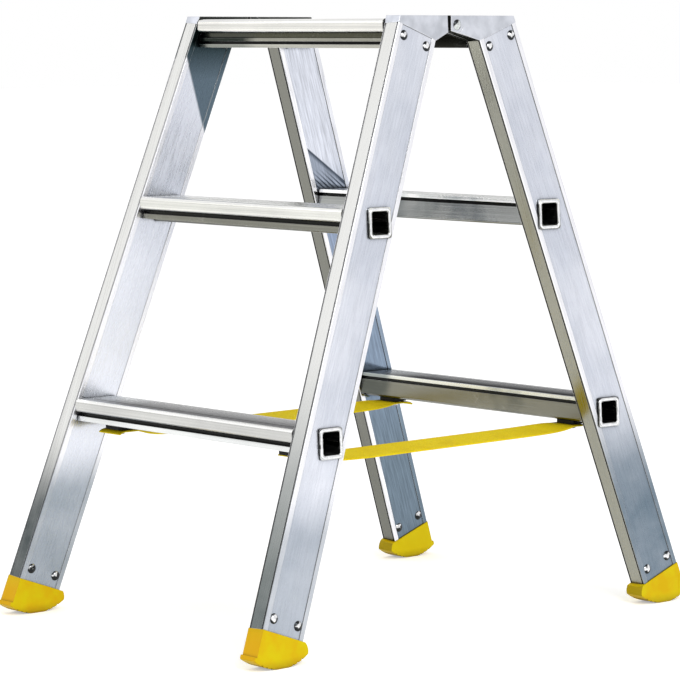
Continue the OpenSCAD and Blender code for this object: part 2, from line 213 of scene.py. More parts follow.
# Shared effects
floatSocket, vectorSocket = "NodeSocketFloat", "NodeSocketVector"
effects = {
    "lineDetail": (1.0, 4.0, 0.65),  # scale, detail and roughness of each noise
    "cloudDetail": (9.0, 3.0, 0.55),
    "patchDetail": (22.0, 4.0, 0.6),
    "patchDepth": (0.82, 1.0),
    "bendDetail": (14.0, 2.0),
    "bendShare": (0.35, 0.35, 0.35),
    "gateDetail": (30.0, 2.0),
    "gate": (0.5, 0.68),  # scratches show where the noise is in this range
    "scratchWidth": 0.012,
    "domeDetail": (190.0, 1.0),
    "domeUneven": (-0.16, 0.16),
    "insideTurn": -0.05,  # faces with less than this look inwards
    "noiseRange": (0.3, 0.7),  # where most of a noise lies
    "grainRange": (0.2, 0.8),
}


def newGroup(name, inputs, outputs):
    group = bpy.data.node_groups.new(name, "ShaderNodeTree")
    for label, kind, value in inputs:
        socket = group.interface.new_socket(name=label, in_out="INPUT", socket_type=kind)
        socket.default_value = value
    for label, kind in outputs:
        group.interface.new_socket(name=label, in_out="OUTPUT", socket_type=kind)
    return group, group.nodes.new("NodeGroupInput").outputs, group.nodes.new("NodeGroupOutput")


def objectPlace(tree):
    return addNode(tree, "ShaderNodeTexCoord").outputs["Object"]


def axesOf(tree, vector):
    return addNode(tree, "ShaderNodeSeparateXYZ", {0: vector}).outputs


def spot(tree):  # x, y and z of a point
    return axesOf(tree, objectPlace(tree))


def noise(tree, place, scale, detail, roughness=0.5):
    node = addNode(tree, "ShaderNodeTexNoise",
                   {"Vector": place, "Scale": scale, "Detail": detail, "Roughness": roughness})
    return node.outputs["Fac"]


def makeStileAxes():  # x across the ladder, y across a stile, z along it, for both frames
    group, given, result = newGroup("stileAxes", [], [("Vector", vectorSocket)])
    x, y, z = spot(group)
    folded = addNode(group, "ShaderNodeCombineXYZ", {"X": x, "Y": reckon(group, "ABSOLUTE", y), "Z": z})
    turned = addNode(group, "ShaderNodeMapping", {"Vector": folded.outputs[0], "Rotation": (-ladder["lean"], 0, 0)})
    fillSockets(group, result, {"Vector": turned.outputs[0]})
    return group


def makeDrawnGrain():  # fine lines that the die leaves along an extrusion
    group, given, result = newGroup(
        "drawnGrain",
        [("Vector", vectorSocket, (0, 0, 0)), ("Fineness", vectorSocket, (500, 500, 4))],
        [("Lines", floatSocket), ("Clouds", floatSocket)],
    )
    scaled = addNode(group, "ShaderNodeVectorMath", {0: given["Vector"], 1: given["Fineness"]}, operation="MULTIPLY")
    fillSockets(group, result, {"Lines": noise(group, scaled.outputs[0], *effects["lineDetail"]),
                                "Clouds": noise(group, given["Vector"], *effects["cloudDetail"])})
    return group


def makeCrevice():  # dirt and painted shade in corners, holes and grooves
    group, given, result = newGroup(
        "crevice",
        [("Distance", floatSocket, 0.004), ("Sharpness", floatSocket, 1.6), ("Gain", floatSocket, 1.4)],
        [("Mask", floatSocket)],
    )
    sky = addNode(group, "ShaderNodeAmbientOcclusion", {"Distance": given["Distance"]}, samples=8)
    strong = combine(group, "MULTIPLY", reckon(group, "SUBTRACT", 1.0, sky.outputs["AO"]), given["Gain"])
    fillSockets(group, result, {"Mask": combine(group, "POWER", strong, given["Sharpness"])})
    return group


def makeEdgeWearAndHighlight():  # rubbed edges and painted edge highlights, and the small radius that every real edge has
    group, given, result = newGroup(
        "edgeWearAndHighlight",
        [("Radius", floatSocket, 0.0008), ("Spread", floatSocket, 6.0)],
        [("Mask", floatSocket), ("Normal", vectorSocket)],
    )
    rounded = addNode(group, "ShaderNodeBevel", {"Radius": given["Radius"]}, samples=6).outputs["Normal"]
    surface = addNode(group, "ShaderNodeNewGeometry").outputs["Normal"]
    along = addNode(group, "ShaderNodeVectorMath", {0: rounded, 1: surface}, operation="DOT_PRODUCT").outputs["Value"]
    wornAndLit = combine(group, "MULTIPLY", reckon(group, "SUBTRACT", 1.0, along), given["Spread"])
    fillSockets(group, result, {"Mask": wornAndLit, "Normal": rounded})
    return group


def makeTowardsFloor():  # mottled mask that grows towards the floor; the stiles take it as painted shade
    group, given, result = newGroup(
        "towardsFloor",
        [("Low", floatSocket, 0.05), ("High", floatSocket, 0.3)],
        [("Mask", floatSocket)],
    )
    place = objectPlace(group)
    height = addNode(group, "ShaderNodeMapRange",
                     {"Value": axesOf(group, place)["Z"], "From Min": given["High"], "From Max": given["Low"]},
                     interpolation_type="SMOOTHSTEP")
    patches = noise(group, place, *effects["patchDetail"])
    mottled = spread(group, patches, *effects["noiseRange"], *effects["patchDepth"])
    fillSockets(group, result, {"Mask": combine(group, "MULTIPLY", height.outputs["Result"], mottled)})
    return group


def makeScuffs():  # thin scratches in changing directions
    group, given, result = newGroup(
        "scuffs",
        [("Vector", vectorSocket, (0, 0, 0)), ("Scale", floatSocket, 60.0)],
        [("Mask", floatSocket)],
    )
    scale, detail = effects["bendDetail"]
    bend = addNode(group, "ShaderNodeTexNoise", {"Vector": given["Vector"], "Scale": scale, "Detail": detail})
    moved = addNode(group, "ShaderNodeVectorMath",
                    {0: bend.outputs["Color"], 1: effects["bendShare"], 2: given["Vector"]}, operation="MULTIPLY_ADD")
    cells = addNode(group, "ShaderNodeTexVoronoi", {"Vector": moved.outputs[0], "Scale": given["Scale"]},
                    feature="DISTANCE_TO_EDGE")
    thin = spread(group, cells.outputs["Distance"], 0.0, effects["scratchWidth"], 1.0, 0.0)
    gate = spread(group, noise(group, given["Vector"], *effects["gateDetail"]), *effects["gate"])
    fillSockets(group, result, {"Mask": combine(group, "MULTIPLY", thin, gate)})
    return group


stileAxes = makeStileAxes()
drawnGrain = makeDrawnGrain()
crevice = makeCrevice()
edgeWearAndHighlight = makeEdgeWearAndHighlight()
towardsFloor = makeTowardsFloor()
scuffs = makeScuffs()
print("effects made")


# Tools of the finishes
def fillGroup(tree, group, inputs=None):
    return addNode(tree, "ShaderNodeGroup", inputs, node_tree=group).outputs


def mixTone(tree, factor, under, over, blend="MIX"):  # a colour over another, by a mask
    node = addNode(tree, "ShaderNodeMix", None, data_type="RGBA", blend_type=blend)
    under, over = [(*tone, 1) if isinstance(tone, tuple) else tone for tone in (under, over)]
    fillSockets(tree, node, {0: factor, 6: under, 7: over})
    return node.outputs[2]


def pick(tree, mask, first, second):  # the second value where the mask is 1
    return addNode(tree, "ShaderNodeMix", {0: mask, 2: first, 3: second}, data_type="FLOAT").outputs[0]


def layers(tree, tone, coats):  # one coat after the other, each with its mask
    for mask, coat in coats:
        tone = mixTone(tree, mask, tone, coat)
    return tone


def toneRamp(tree, value, steps, shape="LINEAR"):  # tones by a value from 0 to 1
    ramp = addNode(tree, "ShaderNodeValToRGB", {0: value})
    ramp.color_ramp.interpolation = shape
    while len(ramp.color_ramp.elements) < len(steps):
        ramp.color_ramp.elements.new(0.5)
    for element, (place, tone) in zip(ramp.color_ramp.elements, steps):
        element.position = place
        element.color = (*tone, 1)
    return ramp.outputs["Color"]


def waves(tree, value, count):  # count full waves while the value grows by 1
    return reckon(tree, "SINE", reckon(tree, "MULTIPLY", value, count * 2 * math.pi))


def faceWay(tree):
    return axesOf(tree, addNode(tree, "ShaderNodeTexCoord").outputs["Normal"])


def facing(tree):  # how far a face looks sideways, up, and out of its own frame, from -1 to 1
    way = faceWay(tree)
    half = reckon(tree, "SIGN", spot(tree)["Y"])
    return reckon(tree, "ABSOLUTE", way["X"]), way["Z"], reckon(tree, "MULTIPLY", way["Y"], half)


def looksInside(tree):  # 1 on faces that look at the middle of the ladder
    turned = reckon(tree, "MULTIPLY", faceWay(tree)["X"], spot(tree)["X"])
    return reckon(tree, "LESS_THAN", turned, effects["insideTurn"])


def onRear(tree):  # 1 on the rear frame
    return reckon(tree, "GREATER_THAN", spot(tree)["Y"], 0.0)


def onLeft(tree):  # 1 on the left half
    return reckon(tree, "LESS_THAN", spot(tree)["X"], 0.0)


def darkArcs(tree, arcs):  # dark reflections on a domed head, each with its direction and its range of slopes
    normal = addNode(tree, "ShaderNodeTexCoord").outputs["Normal"]
    dents = noise(tree, objectPlace(tree), *effects["domeDetail"])
    uneven = spread(tree, dents, *effects["noiseRange"], *effects["domeUneven"])
    total = 0.0
    for way, low, high in arcs:
        turned = addNode(tree, "ShaderNodeVectorMath", {0: normal, 1: way}, operation="DOT_PRODUCT").outputs["Value"]
        total = combine(tree, "MAXIMUM", total, spread(tree, reckon(tree, "ADD", turned, uneven), low, high))
    return total


def rubAndHighlightEdges(tree, tone, look, shine=1.0):  # worn edges with painted highlights, and the softened normal
    radius, width, share = look["wearAndHighlight"]
    wearAndHighlight = fillGroup(tree, edgeWearAndHighlight, {"Radius": radius, "Spread": width})
    mask = combine(tree, "MULTIPLY", wearAndHighlight["Mask"], reckon(tree, "MULTIPLY", shine, share))
    return mixTone(tree, mask, tone, look["edge"]), wearAndHighlight["Normal"]


def shadeCrevices(tree, tone, look, share=1.0):  # painted shade in dark corners
    distance, sharpness, gain = look["crevice"]
    dirt = fillGroup(tree, crevice, {"Distance": distance, "Sharpness": sharpness, "Gain": gain})
    return mixTone(tree, combine(tree, "MULTIPLY", dirt["Mask"], share), tone, look["gap"])


def scratch(tree, tone, look, place):
    scale, share = look["scratches"]
    mask = fillGroup(tree, scuffs, {"Vector": place, "Scale": scale})["Mask"]
    return mixTone(tree, combine(tree, "MULTIPLY", mask, share), tone, look["edge"])


def bumpNormal(tree, look, height, normal=None):
    strength, distance = look["bump"]
    bump = addNode(tree, "ShaderNodeBump", {"Strength": strength, "Distance": distance, "Height": height})
    if normal is not None:
        tree.links.new(normal, bump.inputs["Normal"])
    return bump.outputs[0]


# Finishes
stileFinish = {
    "bright": (0.78, 0.80, 0.87),
    "dull": (0.60, 0.63, 0.71),
    "clouds": (0.35, 0.65),  # noise range from bright to dull
    "innerClouds": 0.4,  # share of the dull patches that the inner faces keep
    # painted highlight along the two raised edges of the broad faces
    "bead": (0.88, 0.88, 0.92),
    "beadWidth": 0.0065,
    "narrowFaceLight": ((0.54, 0.54, 0.53), (0.66, 0.66, 0.645)),  # painted light and shade of the narrow faces, right and left
    # painted shade on faces that look down, right and left
    "underShade": ((0.36, 0.355, 0.30), (0.21, 0.21, 0.185)),
    "underTurn": (-0.15, -0.3),
    # painted shade towards the floor on the narrow faces, right and left
    "narrowLowShade": ((0.085, 0.105, 0.105), (0.015, 0.03, 0.035)),
    "narrowShadeFade": ((0.07, 0.36), (0.11, 0.22)),
    "narrowShadeTurn": (-0.2, 0.1, 0.15, 0.95),  # faces that look down get less of this painted shade
    "narrowTurn": (0.6, 0.4),
    # painted shade towards the floor on the broad faces, front and rear frame
    "lowTone": (0.20, 0.245, 0.29),
    "rearLowShade": (0.15, 0.20, 0.25),
    "outerShadeFade": (0.13, 0.19, 0.60),  # heights between which the painted shade towards the floor fades, and its share, on outer faces
    "innerShadeFade": (0.14, 0.195, 0.80),  # front frame's inner faces
    "rearShadeFade": (0.14, 0.27, 1.0),
    "mirror": (0.115, 0.16, 0.20),
    "mirrorDeep": (0.015, 0.03, 0.032),
    "mirrorDeepEnds": (0.619, 0.664),  # heights between which it gets darkest
    "mirrorReach": (0.044, 0.135),  # length of the dark wedge below the top, at the front and at the back edge
    "mirrorBlur": 0.002,
    "gleam": (0.31, 0.35, 0.43),
    "gleamDark": (0.05, 0.065, 0.09),
    "gleamReach": (0.057, 0.003),  # height of the striped gleam over the rear upper tread, at inner and outer edge
    "gleamBlur": 0.001,
    "gleamPitch": 0.0075,
    "gleamStripe": (0.0, 0.6),  # part of each wave that is dark
    "gleamStripeEnds": (0.026, 0.008),
    "gleamRim": (0.009, 0.002),
    "rearInner": ((0.0, (0.26, 0.33, 0.39)), (0.30, (0.28, 0.35, 0.43)), (0.44, (0.35, 0.41, 0.51)),
                  (0.52, (0.86, 0.87, 0.89))),  # painted shade: tone of the rear frame's inner faces by height, darker towards the floor
    "grain": (420, 420, 3.5),
    "lines": (0.25, 0.75, 0.88, 1.07),  # noise range, then the darkest and the brightest line
    "rearStreaks": (0.3, 0.7, 0.72, 1.2),
    "edge": (0.92, 0.92, 0.94),
    "wearAndHighlight": (0.0006, 4.0, 0.5),  # radius, spread and share
    "gap": (0.008, 0.009, 0.009),
    "crevice": (0.006, 1.5, 1.7),  # distance, sharpness and gain
    "gapShare": (0.75, 0.4),  # the painted shade of the corner lines is paler on the front frame, right and left
    "rough": (0.20, 0.36),
    "innerPolish": 0.4,  # share of that roughness on the rear frame's inner faces
    "bump": (0.06, 0.0004),  # strength and distance
}


def beadMask(tree, across):  # 1 on the two raised edges of a broad face
    middle = (ladder["stileInner"] + ladder["stileOuter"]) / 2
    reach = ladder["stileOuter"] - middle - stileFinish["beadWidth"]
    away = reckon(tree, "ABSOLUTE", reckon(tree, "SUBTRACT", across, middle))
    return spread(tree, away, reach - ladder["softEdge"], reach + ladder["softEdge"])


def roomMirror(tree, across, height):  # the dark wedge that the polished inner faces show below the top step
    reach = spread(tree, across, ladder["stileOuter"], ladder["stileInner"], *stileFinish["mirrorReach"])
    above = reckon(tree, "SUBTRACT", height, reckon(tree, "SUBTRACT", ladder["tops"][2], reach))
    blur = stileFinish["mirrorBlur"]
    onFront = reckon(tree, "SUBTRACT", 1.0, onRear(tree))
    mask = combine(tree, "MULTIPLY", spread(tree, above, -blur, blur), looksInside(tree), onFront)
    deep = spread(tree, height, *stileFinish["mirrorDeepEnds"])
    return mask, mixTone(tree, deep, stileFinish["mirror"], stileFinish["mirrorDeep"])


def deckGleam(tree, across, height):  # stripes of the deck's grooves, mirrored on the rear frame's inner faces
    look = stileFinish
    reach = spread(tree, across, ladder["stileInner"], ladder["stileOuter"], *look["gleamReach"])
    above = reckon(tree, "SUBTRACT", height, ladder["tops"][1])
    below = reckon(tree, "SUBTRACT", reach, above)
    blur = look["gleamBlur"]
    mask = combine(tree, "MULTIPLY", spread(tree, below, -blur, blur), spread(tree, above, -2 * blur, 0.0),
                   looksInside(tree), onRear(tree))
    wave = waves(tree, reckon(tree, "ADD", above, across), 1 / look["gleamPitch"])
    stripes = combine(tree, "MULTIPLY", spread(tree, wave, *look["gleamStripe"]),
                      spread(tree, above, *look["gleamStripeEnds"]))
    dark = combine(tree, "MAXIMUM", stripes, spread(tree, below, *look["gleamRim"]))
    return mask, mixTone(tree, dark, look["gleam"], look["gleamDark"])


def broadTone(tree, clouds, across, height):
    look = stileFinish
    inside, rear = looksInside(tree), onRear(tree)
    rearInner = combine(tree, "MULTIPLY", inside, rear)
    patchy = combine(tree, "MULTIPLY", spread(tree, clouds, *look["clouds"]),
                     pick(tree, inside, 1.0, look["innerClouds"]))
    beads = beadMask(tree, across)
    lowEdge = reckon(tree, "LESS_THAN", across, ladder["stileInner"] + look["beadWidth"])
    brightBead = combine(tree, "MULTIPLY", rearInner, beads, lowEdge)  # stays bright on the rear inner faces
    tone = mixTone(tree, patchy, look["bright"], look["dull"])
    tone = layers(tree, tone, ((beads, look["bead"]), roomMirror(tree, across, height)))
    tone = mixTone(tree, combine(tree, "SUBTRACT", rearInner, brightBead), tone,
                   toneRamp(tree, height, look["rearInner"]), "MULTIPLY")
    mask, gleam = deckGleam(tree, across, height)
    tone = mixTone(tree, combine(tree, "SUBTRACT", mask, beads), tone, gleam)
    # painted shade towards the floor on the broad faces
    shadeFades = zip(look["outerShadeFade"], look["innerShadeFade"], look["rearShadeFade"])
    lowest, highest, share = [pick(tree, rear, pick(tree, inside, outer, inner), back) for outer, inner, back in shadeFades]
    lowMask = fillGroup(tree, towardsFloor, {"Low": lowest, "High": highest})["Mask"]
    lowShaded = combine(tree, "SUBTRACT", combine(tree, "MULTIPLY", lowMask, share), brightBead)
    return mixTone(tree, lowShaded, tone, mixTone(tree, rear, look["lowTone"], look["rearLowShade"]))


def narrowTone(tree, upward):
    look = stileFinish
    left = onLeft(tree)
    # painted light on the narrow faces, and painted shade on those that look down
    light, under, lowTone = [mixTone(tree, left, *look[name]) for name in ("narrowFaceLight", "underShade", "narrowLowShade")]
    lowest, highest = [pick(tree, left, *ends) for ends in zip(*look["narrowShadeFade"])]
    # painted shade towards the floor on the narrow faces
    lowMask = fillGroup(tree, towardsFloor, {"Low": lowest, "High": highest})["Mask"]
    lowShaded = combine(tree, "MULTIPLY", lowMask, spread(tree, upward, *look["narrowShadeTurn"]))
    return layers(tree, light, ((spread(tree, upward, *look["underTurn"]), under), (lowShaded, lowTone)))


def makeStileFinish():
    look = stileFinish
    material, tree, shader = newFinish("drawnStileAluminium")
    axes = fillGroup(tree, stileAxes)["Vector"]
    grain = fillGroup(tree, drawnGrain, {"Vector": axes, "Fineness": look["grain"]})
    sideways, upward = facing(tree)[:2]
    rear = onRear(tree)
    rearInner = combine(tree, "MULTIPLY", looksInside(tree), rear)
    height = spot(tree)["Z"]
    tone = broadTone(tree, grain["Clouds"], axesOf(tree, axes)["Y"], height)
    tone = mixTone(tree, spread(tree, sideways, *look["narrowTurn"]), tone, narrowTone(tree, upward))
    lines = pick(tree, rearInner, spread(tree, grain["Lines"], *look["lines"]),
                 spread(tree, grain["Lines"], *look["rearStreaks"]))
    tone = mixTone(tree, 1.0, tone, lines, "MULTIPLY")
    tone, normal = rubAndHighlightEdges(tree, tone, look)
    tone = shadeCrevices(tree, tone, look, pick(tree, rear, pick(tree, onLeft(tree), *look["gapShare"]), 1.0))
    rough = spread(tree, grain["Lines"], *effects["grainRange"], *look["rough"])
    polish = pick(tree, rearInner, 1.0, look["innerPolish"])
    fillSockets(tree, shader, {"Base Color": tone, "Metallic": 1.0,
                               "Roughness": combine(tree, "MULTIPLY", rough, polish),
                               "Normal": bumpNormal(tree, look, grain["Lines"], normal)})
    return material


treadFinish = {
    "nose": ((0.62, 0.62, 0.60), (0.80, 0.80, 0.75), (0.88, 0.87, 0.82)),  # painted shade, darker on the lower treads: low tread, upper tread, top step
    # painted highlight on the rounded top edge of each nose
    "noseHighlight": (0.97, 0.97, 0.95),
    "noseHighlightTurn": (0.25, 0.55),
    # painted shade: the low deck is darker than the upper deck and the top step
    "deck": ((0.40, 0.40, 0.405), (0.82, 0.83, 0.81), (0.86, 0.86, 0.82)),
    "deckTurn": (0.90, 0.99),
    "deckNoseShade": (0.32, 0.32, 0.33),  # painted shade: the low deck darkens towards its nose, and loses shine, over this range of depth
    "deckNoseReach": (0.055, 0.0),
    "rearDeck": (0.60, 0.61, 0.63),  # painted shade on the rear low deck, at its nose and at its back edge
    "rearDeckBack": (0.22, 0.225, 0.23),
    "rearDeckReach": (0.0, 0.045),
    "deckLeft": (0.95, 0.98, 0.97),  # the low deck's left end mirrors the light stile
    "deckLeftReach": (-0.10, -0.17),
    "deckDull": (0.97, 0.2),  # how far the low decks lose their shine, and how far at the left end
    "grooveDepth": 0.0022,  # deck grooves, with their walls, lie within this below the top
    "grooveMargin": 0.004,  # and this far from the nose and from the back edge
    "grooveBlur": 0.0005,
    "bandDepth": 0.036,  # faces get painted shade and light by the depth below the top, over this range: dark in the recess under the nose, lighter on the lip
    "lowBands": ((0.0, (1, 1, 1)), (0.0158, (0.04, 0.042, 0.04)), (0.0203, (1.3, 1.32, 1.35))),
    "midBands": ((0.0, (1, 1, 1)), (0.0158, (0.04, 0.042, 0.036)), (0.0203, (0.30, 0.30, 0.27))),
    "topBands": ((0.0, (1, 1, 1)), (0.0158, (0.18, 0.18, 0.13)), (0.0219, (0.42, 0.42, 0.38)),
                 (0.0256, (0.016, 0.016, 0.014)), (0.0289, (0.60, 0.60, 0.56))),
    "topLeftBands": ((0.0, (1, 1, 1)), (0.0158, (0.16, 0.17, 0.14)), (0.0205, (0.03, 0.04, 0.034)),
                     (0.0256, (0.012, 0.013, 0.012)), (0.0289, (0.34, 0.36, 0.34))),
    "topLeftReach": (-0.060, -0.084),  # the top step's left end mirrors the dark wedge of the stile
    # painted shade on the faces that look into the ladder, by depth below the top; the low and upper treads get painted
    # light along the top edge
    "lowInner": ((0.0, (0.80, 0.80, 0.72)), (0.0042, (0.05, 0.05, 0.045)), (0.0082, (0.24, 0.235, 0.19))),
    "midInner": ((0.0, (1.15, 1.15, 1.12)), (0.0042, (0.014, 0.016, 0.014)), (0.0082, (0.36, 0.37, 0.36))),
    "topInner": ((0.0, (0.12, 0.12, 0.10)), (0.0042, (0.012, 0.012, 0.01)), (0.0082, (0.05, 0.05, 0.04))),
    "innerTurn": (-0.6, -0.9),
    "blotch": (0.46, 0.50, 0.53),
    "blotches": (0.48, 0.62),
    # painted shade on faces that look down
    "underShade": (0.10, 0.105, 0.095),
    "underTurn": (-0.5, -0.9),
    "stepEnd": 0.1613,  # half length of a top step at its upper inner corner
    "stepEndWidth": 0.0016,  # painted shadow of the narrow gap at each end
    "cloud": (0.82, 0.82, 0.83),
    "clouds": (0.35, 0.75),
    "grain": (3.0, 460, 460),
    "lines": (0.25, 0.75, 0.78, 1.12),
    "scratches": (45.0, 0.35),  # scale and share
    "edge": (0.92, 0.92, 0.90),
    "wearAndHighlight": (0.0005, 4.0, 0.5),
    "gap": (0.008, 0.008, 0.008),
    "crevice": (0.007, 1.6, 1.4),
    "rough": (0.16, 0.32),
    "bump": (0.06, 0.0004),
}


def bandTones(tree, drop, name):  # painted shade and light in steps down one face of a tread
    reach = treadFinish["bandDepth"]
    steps = [(start / reach, tone) for start, tone in treadFinish[name]]
    return toneRamp(tree, spread(tree, drop, 0.0, reach), steps, "CONSTANT")


def byLevel(tree, height, low, mid, top):  # picks a tone for the level that a point is on
    tone = mixTone(tree, reckon(tree, "GREATER_THAN", height, overLow), low, mid)
    return mixTone(tree, reckon(tree, "GREATER_THAN", height, overMid), tone, top)


def stepEnds(tree, side, depth, height):  # 1 on the cut ends of the top steps
    lower = reckon(tree, "MULTIPLY", reckon(tree, "SUBTRACT", ladder["tops"][2], height), leanCos)
    along = reckon(tree, "MULTIPLY_ADD", depth, leanSin, lower)
    start = treadFinish["stepEnd"] - ladder["topGap"] / 2 * leanSin * flare - treadFinish["stepEndWidth"]
    end = reckon(tree, "MULTIPLY_ADD", along, flare, start)
    past = reckon(tree, "SUBTRACT", reckon(tree, "ABSOLUTE", side), end)
    return combine(tree, "MULTIPLY", spread(tree, past, -ladder["softEdge"], ladder["softEdge"]),
                   reckon(tree, "GREATER_THAN", height, overMid))


def lowDecks(tree, side, depth, height):  # tone of the low decks, with painted shade and a painted reflection at the left end, where their grooves lie, and how dull they are
    look = treadFinish
    low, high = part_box("rear_low_tread")
    rear = onRear(tree)
    fromNose = reckon(tree, "SUBTRACT", high.y, depth)
    toNose = spread(tree, fromNose, *look["deckNoseReach"])
    toBack = spread(tree, fromNose, *look["rearDeckReach"])
    leftEnd = spread(tree, side, *look["deckLeftReach"])
    shades = mixTone(tree, rear, mixTone(tree, toNose, (1, 1, 1), look["deckNoseShade"]),
                     mixTone(tree, toBack, look["rearDeck"], look["rearDeckBack"]))
    tone = mixTone(tree, leftEnd, look["deck"][0], look["deckLeft"])
    tone = mixTone(tree, 1.0, tone, shades, "MULTIPLY")
    start, deep, blur = look["grooveMargin"], look["grooveDepth"], look["grooveBlur"]
    end = high.y - low.y - start
    drop = reckon(tree, "SUBTRACT", ladder["tops"][0], height)
    grooves = combine(tree, "MULTIPLY", spread(tree, fromNose, start, start + blur),
                      spread(tree, fromNose, end, end - blur), spread(tree, drop, deep + blur, deep),
                      reckon(tree, "LESS_THAN", height, overLow))
    dull = combine(tree, "MULTIPLY", pick(tree, rear, toNose, toBack), grooves,
                   spread(tree, leftEnd, 0.0, 1.0, *look["deckDull"]))
    return tone, grooves, dull


def makeTreadFinish():
    look = treadFinish
    material, tree, shader = newFinish("brightTreadAluminium")
    place = objectPlace(tree)
    grain = fillGroup(tree, drawnGrain, {"Vector": place, "Fineness": look["grain"]})
    upward, outward = facing(tree)[1:]
    side, y, height = axesOf(tree, place)
    depth = reckon(tree, "ABSOLUTE", y)
    drops = [reckon(tree, "SUBTRACT", top, height) for top in ladder["tops"]]
    low, mid, top = [bandTones(tree, drop, name) for drop, name in zip(drops, ("lowBands", "midBands", "topBands"))]
    top = mixTone(tree, spread(tree, side, *look["topLeftReach"]), top, bandTones(tree, drops[2], "topLeftBands"))
    bands = byLevel(tree, height, low, mid, top)
    tone = mixTone(tree, 1.0, byLevel(tree, height, *look["nose"]), bands, "MULTIPLY")
    inner = byLevel(tree, height, *[bandTones(tree, drop, name)
                                    for drop, name in zip(drops, ("lowInner", "midInner", "topInner"))])
    inner = mixTone(tree, spread(tree, grain["Clouds"], *look["blotches"]), inner, look["blotch"], "MULTIPLY")
    lowDeck, grooves, dull = lowDecks(tree, side, depth, height)
    tone = layers(tree, tone, (
        (spread(tree, upward, *look["noseHighlightTurn"]), look["noseHighlight"]),
        (spread(tree, upward, *look["deckTurn"]), byLevel(tree, height, lowDeck, *look["deck"][1:])),
        (stepEnds(tree, side, depth, height), look["gap"]),
        (spread(tree, outward, *look["innerTurn"]), inner),
        (grooves, lowDeck),
        (spread(tree, upward, *look["underTurn"]), look["underShade"]),
    ))
    tone = mixTone(tree, spread(tree, grain["Clouds"], *look["clouds"]), tone, look["cloud"], "MULTIPLY")
    tone = mixTone(tree, 1.0, tone, spread(tree, grain["Lines"], *look["lines"]), "MULTIPLY")
    tone = scratch(tree, tone, look, place)
    shine = reckon(tree, "SUBTRACT", 1.0, dull)
    tone, normal = rubAndHighlightEdges(tree, tone, look, shine)
    tone = shadeCrevices(tree, tone, look)
    fillSockets(tree, shader, {"Base Color": tone, "Metallic": shine, "Specular IOR Level": 0.0,
                               "Roughness": spread(tree, grain["Lines"], *effects["grainRange"], *look["rough"]),
                               "Normal": bumpNormal(tree, look, grain["Lines"], normal)})
    return material


hingeFinish = {
    "bright": (0.66, 0.68, 0.74),
    "dull": (0.50, 0.52, 0.57),
    "clouds": (0.35, 0.65),
    "cloudNoise": (60.0, 3.0),  # scale and detail
    "sandNoise": (900.0, 3.0),
    # painted shade on faces that look into the ladder
    "innerShade": (0.05, 0.055, 0.05),
    # painted shade on faces that look down
    "underShade": (0.014, 0.015, 0.012),
    "underTurn": (-0.3, -0.6),
    "gapHalf": (0.017, 0.0165),  # metres from the pin, the faces that meet across the split between the halves lie within this; they get painted shade
    "gapTurn": (0.75, 0.95),
    "edge": (0.96, 0.96, 0.97),
    "wearAndHighlight": (0.0011, 5.0, 0.8),
    "gap": (0.012, 0.013, 0.012),
    "crevice": (0.006, 1.5, 1.4),
    "rough": (0.34, 0.48),
    "bump": (0.12, 0.0003),
}


def makeHingeFinish():
    look = hingeFinish
    material, tree, shader = newFinish("satinHingeCasting")
    place = objectPlace(tree)
    sand = noise(tree, place, *look["sandNoise"])
    clouds = noise(tree, place, *look["cloudNoise"])
    upward, outward = facing(tree)[1:]
    inside = looksInside(tree)
    under = spread(tree, upward, *look["underTurn"])
    depth = reckon(tree, "ABSOLUTE", axesOf(tree, place)["Y"])
    across = reckon(tree, "ABSOLUTE", outward)
    inGap = combine(tree, "MULTIPLY", spread(tree, depth, *look["gapHalf"]),
                    spread(tree, across, *look["gapTurn"]))
    tone = layers(tree, look["bright"], (
        (spread(tree, clouds, *look["clouds"]), look["dull"]),
        (inside, look["innerShade"]),
        (under, look["underShade"]),
        (inGap, look["gap"]),
    ))
    tone, normal = rubAndHighlightEdges(tree, tone, look)
    tone = shadeCrevices(tree, tone, look)
    lit = reckon(tree, "SUBTRACT", 1.0, combine(tree, "MAXIMUM", inside, under, inGap))
    fillSockets(tree, shader, {"Base Color": tone, "Metallic": lit, "Specular IOR Level": 0.0,
                               "Roughness": spread(tree, sand, *effects["noiseRange"], *look["rough"]),
                               "Normal": bumpNormal(tree, look, sand, normal)})
    return material


fastenerFinish = {
    "rivet": {"bright": (0.90, 0.90, 0.91), "dull": (0.66, 0.67, 0.69), "rough": (0.10, 0.2),
              "arcs": (((0, 0.75, -0.66), 0.06, 0.20), ((0, -0.46, -0.89), 0.26, 0.40), ((0, -0.42, 0.91), 0.42, 0.54)),
              "leftArcs": (((0, 0.45, -0.89), -0.30, -0.14),)},
    "pin": {"bright": (0.72, 0.74, 0.74), "dull": (0.46, 0.50, 0.48), "rough": (0.15, 0.3),
            "arcs": (((0, -0.72, 0.70), 0.20, 0.34), ((0, 0.6, -0.8), 0.50, 0.62)), "leftArcs": ()},
    "screw": {"bright": (0.56, 0.56, 0.57), "dull": (0.36, 0.36, 0.37), "rough": (0.24, 0.4), "arcs": (),
              "leftArcs": ()},
    "spotNoise": (240.0, 4.0),
    "spots": (0.4, 0.68),
    "arc": (0.025, 0.028, 0.03),
    "gap": (0.01, 0.01, 0.01),
    "crevice": (0.003, 1.2, 1.4),
    "edgeRound": 0.0004,
}


